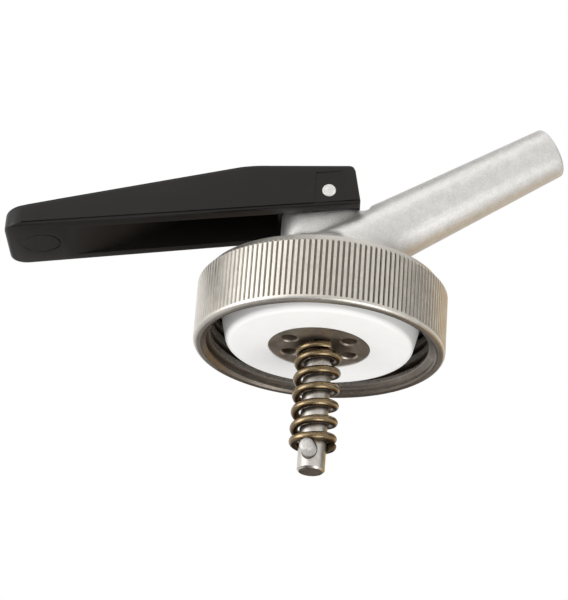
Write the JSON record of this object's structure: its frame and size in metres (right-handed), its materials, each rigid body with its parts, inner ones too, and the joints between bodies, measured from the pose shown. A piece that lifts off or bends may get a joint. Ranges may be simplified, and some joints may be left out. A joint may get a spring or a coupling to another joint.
{
  "type": "lever tap for a jerrican neck",
  "caption": "Pouring tap for a screw-neck can: knurled union nut, sealing cone, sprung lift valve worked by a lever, and a slanting spout.",
  "frame": {"origin": "on the union nut's axis, in the plane of the nut's lower face", "axes": "+Z along the stem away from the can, +X towards the spout, the lever lies towards -X"},
  "size_m": [0.1229, 0.055, 0.0851],
  "materials": {
    "turned_steel": "satin, turned",
    "cast_steel": "fine blasted casting",
    "plate_steel": "satin, grey-brown",
    "bright_steel": "bright drawn",
    "spring_wire": "dark bronze, satin",
    "white_plastic": "smooth, slightly waxy",
    "slip_plastic": "waxy",
    "seal_rubber": "matt",
    "black_plastic": "satin moulded"
  },
  "bodies": {
    "tap_body": {"tap_body": "cast_steel", "stem_o_ring": "seal_rubber", "gland_bush": "slip_plastic", "sealing_cone": "white_plastic", "valve_plate": "plate_steel", "plate_seal_ring": "slip_plastic", "return_spring": "spring_wire"},
    "slip_washer": {"nut_slip_washer": "slip_plastic"},
    "union_nut": {"union_nut": "turned_steel"},
    "valve_stem": {"valve_stem": "bright_steel", "valve_gasket": "seal_rubber", "valve_disc": "plate_steel", "valve_clip": "plate_steel", "spring_cross_pin": "bright_steel"},
    "lever": {"lever": "black_plastic", "lever_pin": "bright_steel"}
  },
  "joints": [
    {"name": "nut_slide", "type": "slide", "parent": "tap_body", "child": "slip_washer", "axis": [0, 0, 1], "range_m": [0, 0.005]},
    {"name": "nut_spin", "type": "hinge", "parent": "slip_washer", "child": "union_nut", "pos_m": [0, 0, 0.0079], "axis": [0, 0, 1], "continuous": true},
    {"name": "stem_lift", "type": "slide", "parent": "tap_body", "child": "valve_stem", "axis": [0, 0, 1], "range_m": [0, 0.00343], "deforming": ["return_spring"]},
    {"name": "lever_press", "type": "hinge", "parent": "valve_stem", "child": "lever", "pos_m": [0, 0, 0.03495], "axis": [0, -1, 0], "range_deg": [0, 18], "stiffness_Nm_per_rad": 2.03, "springref_deg": -7.85}
  ],
  "couplings": [
    {"joint": "lever_press", "follows": "stem_lift", "rad_per_m": 91.59}
  ]
}
